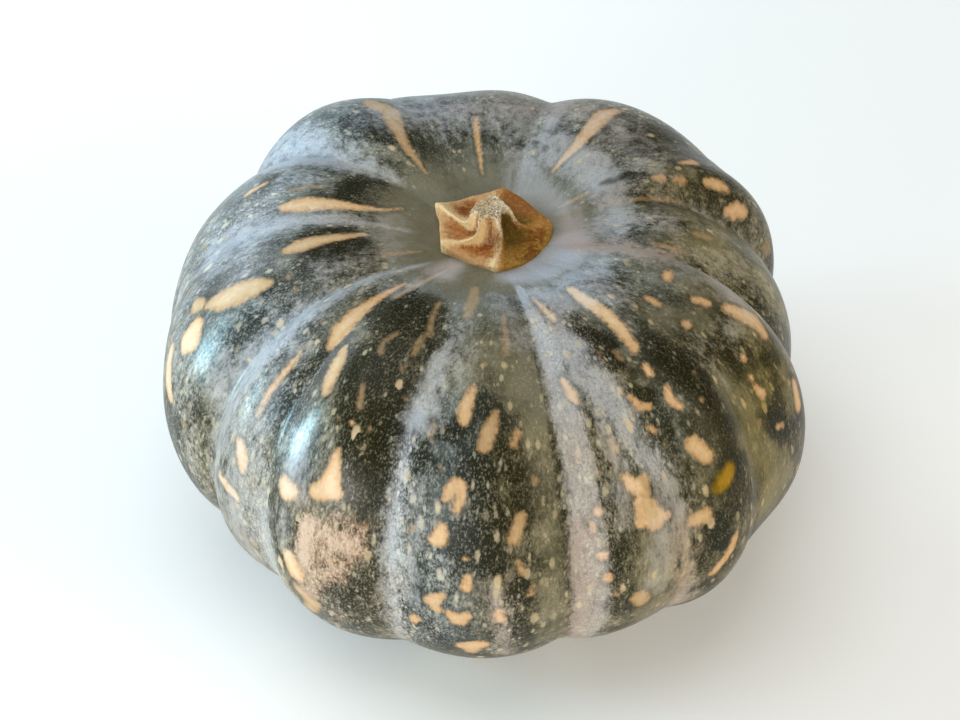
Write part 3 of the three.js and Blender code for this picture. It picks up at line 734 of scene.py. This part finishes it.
class Finish:
    """One material, its Principled shader, and the ways its patterns are made."""

    def __init__(self, name):
        self.material = bpy.data.materials.new(name)
        self.material.use_nodes = True
        self.tree = self.material.node_tree
        self.shader = self.tree.nodes["Principled BSDF"]

    def node(self, kind, settings=None, sockets=None, output=0):
        """Adds a node: its settings first, then the values or wires of its sockets."""
        made = self.tree.nodes.new(kind)
        for key, value in (settings or {}).items():
            setattr(made, key, value)
        for key, value in (sockets or {}).items():
            self.plug(made.inputs[key], value)
        return Wire(self, made.outputs[output])

    def plug(self, socket, value):
        if isinstance(value, Wire):
            self.tree.links.new(value.socket, socket)
        else:
            socket.default_value = value

    def surface(self, **values):
        """Sets or wires the shader's sockets; an underscore in a name stands for a space."""
        for key, value in values.items():
            self.plug(self.shader.inputs[key.replace("_", " ")], value)

    def field(self, name, output="Fac"):
        return self.node("ShaderNodeAttribute", dict(attribute_name=name), output=output)

    def fields(self, names):
        return [self.field(name) for name in names.split()]

    def vector_maths(self, operation, first, second):
        return self.node("ShaderNodeVectorMath", dict(operation=operation), {0: first, 1: second})

    def stretch(self, vector, x, y, z):
        return self.vector_maths("MULTIPLY", vector, (x, y, z))

    def noise(self, vector, scale, detail=3, roughness=0.6):
        sockets = {"Vector": vector, "Scale": scale, "Detail": detail, "Roughness": roughness}
        return self.node("ShaderNodeTexNoise", None, sockets)

    def step(self, value, low, high, start=0, end=1):
        """A smooth step of value from start at low to end at high."""
        sockets = {0: value, 1: low, 2: high, 3: start, 4: end}
        return self.node("ShaderNodeMapRange", dict(interpolation_type="SMOOTHSTEP"), sockets)

    def mix(self, share, first, second):
        """From the first colour at 0 to the second at 1. A colour is a wire, or a red, a green and
        a blue as they look, 0 to 255."""
        sockets = {0: share, 6: paint(first), 7: paint(second)}
        return self.node("ShaderNodeMix", dict(data_type="RGBA"), sockets, output=2)

    def freckles(self, vector, spacing, small, large, share, soft):
        """Round dots, one to a cell, of random size and strength; only this share of the cells
        has one."""
        cell = self.node("ShaderNodeTexVoronoi", None, {"Vector": vector, "Scale": 1 / spacing})
        other = cell.socket.node.outputs["Color"]
        pick = self.node("ShaderNodeSeparateColor", None, {0: Wire(self, other)})
        chance, strength = (Wire(self, pick.socket.node.outputs[key]) for key in (1, 2))
        size = pick * (large - small) + small
        dot = self.step(size - cell, -soft, soft)
        return dot * self.step(share - chance, -0.02, 0.02) * (strength * 0.7 + 0.3)

    def wander(self, vector, scale, reach):
        """The vector pushed about by up to half of reach, so that round things come out uneven."""
        push = self.node("ShaderNodeTexNoise", None, {"Vector": vector, "Scale": scale}, output=1)
        centred = self.vector_maths("SUBTRACT", push, (0.5, 0.5, 0.5))
        return self.vector_maths("ADD", vector, self.stretch(centred, reach, reach, reach))

    def bump(self, height):
        """height is in mm."""
        sockets = {"Strength": 1.0, "Distance": MM, "Height": height}
        self.surface(Normal=self.node("ShaderNodeBump", None, sockets))


def paint(colour):
    """A colour given as it looks, 0 to 255, as the shader needs it; a wire stays as it is."""
    if isinstance(colour, Wire):
        return colour
    share = np.array(colour) / 255
    linear = np.where(share > 0.04045, ((share + 0.055) / 1.055) ** 2.4, share / 12.92)
    return (*linear.tolist(), 1.0)


def finish_rind():
    """Near-black green under an olive-grey veil, cream freckles and marks, and waxy bloom. On the left
    a blue cast and a few bloom strokes are painted bluish window light and highlight; on the right a
    yellow cast is a painted warm reflection.
    """
    rind = Finish("rind_skin")
    mix, step, noise, stretch = rind.mix, rind.step, rind.noise, rind.stretch
    growth = rind.field("growth", "Vector")
    long_growth = stretch(growth, 1, 1, 0.45)
    night, bloom, olive, buff, pink, frost = rind.fields("night bloom olive buff pink frost")
    cool, gloss, clouded, mark, bright, calm = rind.fields("cool gloss clouded mark bright calm")

    pepper = noise(stretch(growth, 1, 1, 0.6), 1.5, 2, 0.6)
    fine = noise(long_growth, 0.95)
    medium = noise(long_growth, 0.3)
    broad = noise(growth, 0.075, 3, 0.5)
    streak = noise(stretch(growth, 1, 1, 0.07), 0.45, 4, 0.65)
    edge = noise(growth, 0.5)
    clouds = noise(stretch(growth, 1, 1, 0.7), 0.14, 3, 0.5)

    # the veil: how much of the dark ground the olive grey covers
    cover = ((medium - 0.5) * 0.6 + (broad - 0.5) * 0.8 + (streak - 0.5) * 0.3
             + (fine - 0.5) * (0.9 - clouded * 0.4) + (clouds - 0.5) * clouded * 1.6
             + 0.47 - night * 0.6 + olive * 0.4 + calm * 0.4 + cool * (1 - night) * 0.12)
    veil = step(cover, 0.25, 0.85)
    ground = mix(medium, (18, 18, 6), (42, 40, 17))
    ground = mix(clouded * (1 - night) * 0.55, ground, (66, 62, 36))
    # the blue cast, partly painted bluish window light, tints the dark ground and the veil
    ground = mix(cool * (1 - night) * 0.6, ground, (60, 72, 76))
    slate = mix(step(broad, 0.35, 0.65), (94, 88, 62), (122, 114, 90))
    slate = mix(cool * 0.9, slate, (106, 117, 120))
    colour = mix(veil, ground, slate)
    streaked = step(streak * (1 - calm * 0.7) + calm * 0.35, 0.3, 0.7)
    plain = mix(streaked, (106, 103, 82), (126, 122, 106))
    colour = mix(olive * 0.35 + calm * 0.65, colour, plain)

    # bloom: a thin film, drawn out in streaks, frayed at its edges and worn through in places; a few of
    # its strokes are painted highlight round the highlights on the left
    fray = (medium - 0.5) * 1.2 + (streak - 0.5) * 0.7 + (fine - 0.5) * 0.6 + (pepper - 0.5) * 0.3
    film_and_highlight = (step(bloom + fray * (1 - calm * 0.85), 0.1, 1.0)
            * (0.86 + (broad - 0.5) * 0.6 * (1 - calm) + calm * 0.16))
    film_and_highlight = film_and_highlight * (1 - night * 0.7)
    # the wax is bluer under the blue cast, which is partly painted bluish window light and highlight
    wax = mix(cool, (168, 164, 160), (170, 176, 188))
    wax = mix(pink, wax, (180, 158, 146))
    colour = mix(film_and_highlight, colour, wax)
    colour = mix(pink * step(medium, 0.3, 0.7) * 0.3, colour, (160, 130, 110))

    # freckles: a fine pepper of them, then small and larger ones, drawn out along the meridians
    wobble = rind.wander(rind.field("drawn", "Vector"), 0.8, 1.1)
    crowd = (step(broad + (medium - 0.5) * 0.8, 0.3, 0.7) * 0.5 + 0.16 + frost * 0.6
             - olive * 0.1 - calm * 0.6 - night * 0.3)
    pale = mix(frost, (182, 172, 142), (214, 206, 194))
    # the freckles are bluer under the blue cast, which is partly painted window light
    pale = mix(cool * 0.8, pale, (192, 200, 200))
    tiny = rind.freckles(stretch(wobble, 1, 1, 0.55), 1.7, 0.1, 0.4, crowd, 0.16)
    small = rind.freckles(stretch(wobble, 1, 1, 0.45), 2.9, 0.1, 0.34, crowd, 0.13)
    large = rind.freckles(stretch(wobble, 1, 1, 0.5), 5.6, 0.08, 0.25, crowd * 0.8, 0.07)
    dust = (frost * 0.18 + cool * 0.1 + 0.26) * (1 - calm * 0.7) * (1 - clouded * 0.4)
    colour = mix(step(pepper + crowd * 0.1, 0.5, 0.78) * dust, colour, pale)
    colour = mix(tiny * (frost * 0.3 + 0.52) * (1 - clouded * 0.35), colour, pale)
    colour = mix(small * (frost * 0.2 + 0.65), colour, mix(0.5, pale, (210, 192, 150)))
    creamier = mix(cool * 0.4, (208, 184, 144), (206, 206, 196))
    colour = mix(large * 0.85, colour, creamier)

    # pinholes in the film, then the yellow cast, a painted warm reflection
    pits = step(noise(growth, 1.1), 0.54, 0.68) * (1 - calm * 0.8)
    colour = mix(pits * film_and_highlight * 0.5, colour, mix(cool, (98, 94, 80), (92, 104, 112)))
    colour = mix(rind.field("warm_reflection"), colour, stretch(colour, 1, 0.92, 0.5))

    # rubbed pinkish patches: a tan ground with paler specks
    worn = step(buff + (edge - 0.5) * 0.9 + (fine - 0.5) * 0.7, 0.15, 0.85)
    colour = mix(worn * 0.72, colour, mix(medium, (168, 124, 88), (188, 158, 134)))
    specks = step(buff + (fine - 0.5) + (pepper - 0.5) * 1.4, 0.3, 1.0)
    colour = mix(specks * 0.5, colour, (228, 206, 184))

    # the marks themselves, each with a narrow dark margin, under a little of the bloom
    ragged_mark = mark + (edge - 0.5) * 1.8 + (fine - 0.5) * 1.2
    wear = step(noise(growth, 0.42), 0.46, 0.72) * 0.3 + (pepper - 0.5) * 0.4
    inside = step(ragged_mark, -0.8, 1.0)
    margin = step(ragged_mark, -2.6, -0.3) * bright * 0.3
    colour = mix(margin, colour, (36, 36, 24))
    core = (step(ragged_mark, 0.2, 3) * 0.6 + noise(growth, 0.25, 3, 0.55) * 0.6
            + (pepper - 0.5) * 0.6 - 0.1)
    cream = mix(core, (202, 154, 102), (230, 201, 164))
    # under the blue cast, which is partly painted window light, the marks are duller
    cream = mix(cool * 0.35, cream, (204, 172, 130))
    tint = mix(bright, (150, 128, 92), cream)
    blotch = step(ragged_mark + (medium - 0.5) * 4, 0, 3)
    ochre = mix(blotch, (86, 70, 2), (158, 120, 8))
    tint = mix(rind.field("ochre"), tint, ochre)
    tint = mix(film_and_highlight * 0.5, tint, (226, 212, 202))
    colour = mix(inside * (0.42 + bright * 0.56 - wear * (1.15 - bright)), colour, tint)

    roughness = 0.3 + film_and_highlight * 0.2 + inside * 0.1 + (fine - 0.5) * 0.1
    rind.surface(Base_Color=colour, Roughness=roughness, Specular_IOR_Level=0.12)
    rind.surface(Coat_Weight=gloss * (0.8 + (fine - 0.5) * 2), Coat_Roughness=0.27, Coat_IOR=1.7)
    rind.bump(fine * 0.15 + medium * 0.3 + large * 0.06 - inside * 0.06)
    return rind.material


def finish_stem():
    """Dry cork: rust on the left and olive-gold on the right in the hollows, cream along the ridges and
    round the rim, grey and pitted on the cut. Light and shade are painted as for a light from the left:
    the upper column's left face is painted pale and lit, and the right side is painted darker, in
    shade."""
    cork = Finish("stem_cork")
    mix, step, noise = cork.mix, cork.step, cork.noise
    grown = cork.field("grown", "Vector")
    ridge, cut, up, radius = cork.fields("ridge cut up radius")
    right = step(cork.node("ShaderNodeSeparateXYZ", None, {0: grown}), 1, 5)
    far = step(cork.node("ShaderNodeSeparateXYZ", None, {0: grown}, output=1), 0, 5)
    fibres = noise(cork.stretch(grown, 1, 1, 0.35), 1.1, 5, 0.7)
    pits = noise(grown, 1.3, 5, 0.75)
    patch = noise(grown, 0.2, 4, 0.6)
    fleck = noise(grown, 0.8, 4, 0.7)
    dabs = patch + (fleck - 0.5) * 0.7

    # high up the stem: used below to paint the column's left face lit
    high_up = step(up, 0.5, 0.8)
    # painted shade: the rust is darker close to the column, in the hollows' inner corners
    corner_shade = step(radius, 14, 7)
    tan = mix(fleck, (196, 142, 88), (226, 184, 134))
    rust = mix(step(dabs - corner_shade * 0.18, 0.3, 0.62), (140, 78, 24), (186, 122, 62))
    rust = mix(step(radius + (patch - 0.5) * 9, 12.5, 16.5) * 0.8, rust, tan)
    gold = mix(step(dabs, 0.35, 0.68), (122, 70, 12), (164, 120, 44))
    gold = mix(step(radius + (patch - 0.5) * 7, 15, 19) * 0.45, gold, (184, 148, 66))
    gold = mix(far * 0.7, gold, mix(fleck, (140, 78, 24), (176, 118, 56)))
    # high up on the right the hollow turns dark olive: partly the cork's colour, partly painted shade
    # on the side away from the light
    gold = mix(step(up + (patch - 0.5) * 0.3, 0.5, 0.75) * 0.85, gold, (88, 70, 6))
    gold = mix(step(ridge + (fleck - 0.5) * 0.6, 0.45, 1) * 0.6, gold, (196, 138, 72))
    hollow = mix(right, rust, gold)
    crest = mix(fibres, (222, 172, 112), (255, 232, 182))
    # painted light and shade, as for a light from the left: the upper column's left face is painted
    # pale and lit, and the right side and its ridges are painted less pale, in shade
    lit_column = high_up * (1 - right) * 0.75
    paleness_and_light = (ridge * (1.35 - right * 0.55) + lit_column + (fibres - 0.5) + (fleck - 0.5) * 0.5
                - right * 0.3)
    side = mix(step(paleness_and_light, 0.45, 1.25), hollow, crest)
    side = mix(step(fleck, 0.55, 0.72) * 0.25, side, (226, 190, 138))
    side = mix(step(pits, 0.3, 0.42, 0.5, 0), side, (92, 56, 24))
    face = mix(step(pits, 0.36, 0.56), (134, 106, 76), (246, 222, 186))
    cut_edge = cut + (pits - 0.5) * 0.9 + step(up, 0.62, 0.95) * ridge * 0.8
    colour = mix(step(cut_edge, 0.3, 0.85), side, face)
    cork.surface(Base_Color=colour, Roughness=0.8, Specular_IOR_Level=0.3)
    cork.bump(fibres * 0.5 + pits * (0.5 + cut * 0.7))
    return cork.material


def finish_floor():
    """Pale, matt paint with a faint glow of its own, so that the shadow on it stays soft."""
    floor = Finish("floor_paint")
    floor.surface(Base_Color=(0.9, 0.9, 0.9, 1), Roughness=0.8)
    floor.surface(Emission_Color=(1, 1, 1, 1), Emission_Strength=FLOOR_GLOW)
    return floor.material


# ---- camera, floor and light ----

CAMERA = dict(elevation=43.0, roll=-1.4, distance=1.0, lens=111, left=0.0039, low=0.0017)
FLOOR_HALF_SIDE = 3.0
FLOOR_GLOW = 0.12
WORLD_BRIGHTNESS = 0.2
LIGHTS = [      # metres and watts
    dict(name="window", place=(-1.55, 0.1, 0.37), size=(0.4, 0.6), power=18, colour=(0.5, 0.84, 1.0)),
    dict(name="near_window", place=(-0.95, -1.5, 0.35), size=(0.9, 0.7), power=19,
         colour=(1.0, 0.97, 0.92)),
    dict(name="far_window", place=(-1.3, 1.2, 0.7), size=(1.2, 0.8), power=17,
         colour=(0.82, 0.92, 1.0)),
    dict(name="overhead", place=(-0.2, 0.1, 1.8), size=(1.6, 1.6), power=15,
         colour=(0.92, 0.98, 1.0)),
    dict(name="fill", place=(1.4, -0.8, 0.6), size=(1.0, 1.0), power=12, colour=(1.0, 0.87, 0.56)),
]


def make_camera(middle):
    """Looks down from the front, a little to the left of the widest circle's middle and under it."""
    e, roll = radians(CAMERA["elevation"]), radians(CAMERA["roll"])
    back = Vector((0, -cos(e), sin(e)))
    level = Vector((1, 0, 0))
    upright = back.cross(level)
    right = level * cos(roll) + upright * sin(roll)
    up = upright * cos(roll) - level * sin(roll)
    place = middle + back * CAMERA["distance"] - right * CAMERA["left"] - up * CAMERA["low"]
    turn = Matrix((right, up, back)).transposed().to_4x4()
    camera = bpy.data.objects.new("camera", bpy.data.cameras.new("camera"))
    camera.data.lens = CAMERA["lens"]
    camera.matrix_world = Matrix.Translation(place) @ turn
    bpy.context.collection.objects.link(camera)
    bpy.context.scene.camera = camera


def make_floor():
    """A square of floor round the place where the squash stands."""
    half = FLOOR_HALF_SIDE
    points = np.array([(-half, -half, 0), (half, -half, 0), (half, half, 0), (-half, half, 0)])
    floor = make_mesh("floor", points, [(0, 1, 2, 3)], {})
    floor.data.materials.append(finish_floor())


def make_light(aim, name, place, size, power, colour):
    """A soft rectangular light that faces the point aim."""
    lamp = bpy.data.lights.new(name, "AREA")
    lamp.shape = "RECTANGLE"
    lamp.size, lamp.size_y = size
    lamp.energy = power
    lamp.color = colour
    light = bpy.data.objects.new(name, lamp)
    light.location = place
    light.rotation_mode = "QUATERNION"
    light.rotation_quaternion = (aim - Vector(place)).to_track_quat("-Z", "Y")
    bpy.context.collection.objects.link(light)


def make_world():
    """An even white surround."""
    world = bpy.data.worlds.new("studio")
    world.use_nodes = True
    background = world.node_tree.nodes["Background"]
    background.inputs["Color"].default_value = (1, 1, 1, 1)
    background.inputs["Strength"].default_value = WORLD_BRIGHTNESS
    bpy.context.scene.world = world


# ---- putting it together ----

rind, shift = make_rind()
rind.data.materials.append(finish_rind())
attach(rind, "root")
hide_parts("fruit")

stem = make_stem(shift)
stem.data.materials.append(finish_stem())
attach(stem, "root")
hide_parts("stem")

middle = Vector(shift * MM)
make_camera(middle)
make_floor()
make_world()
for light in LIGHTS:
    make_light(middle, **light)
bpy.context.scene.view_settings.view_transform = "Standard"
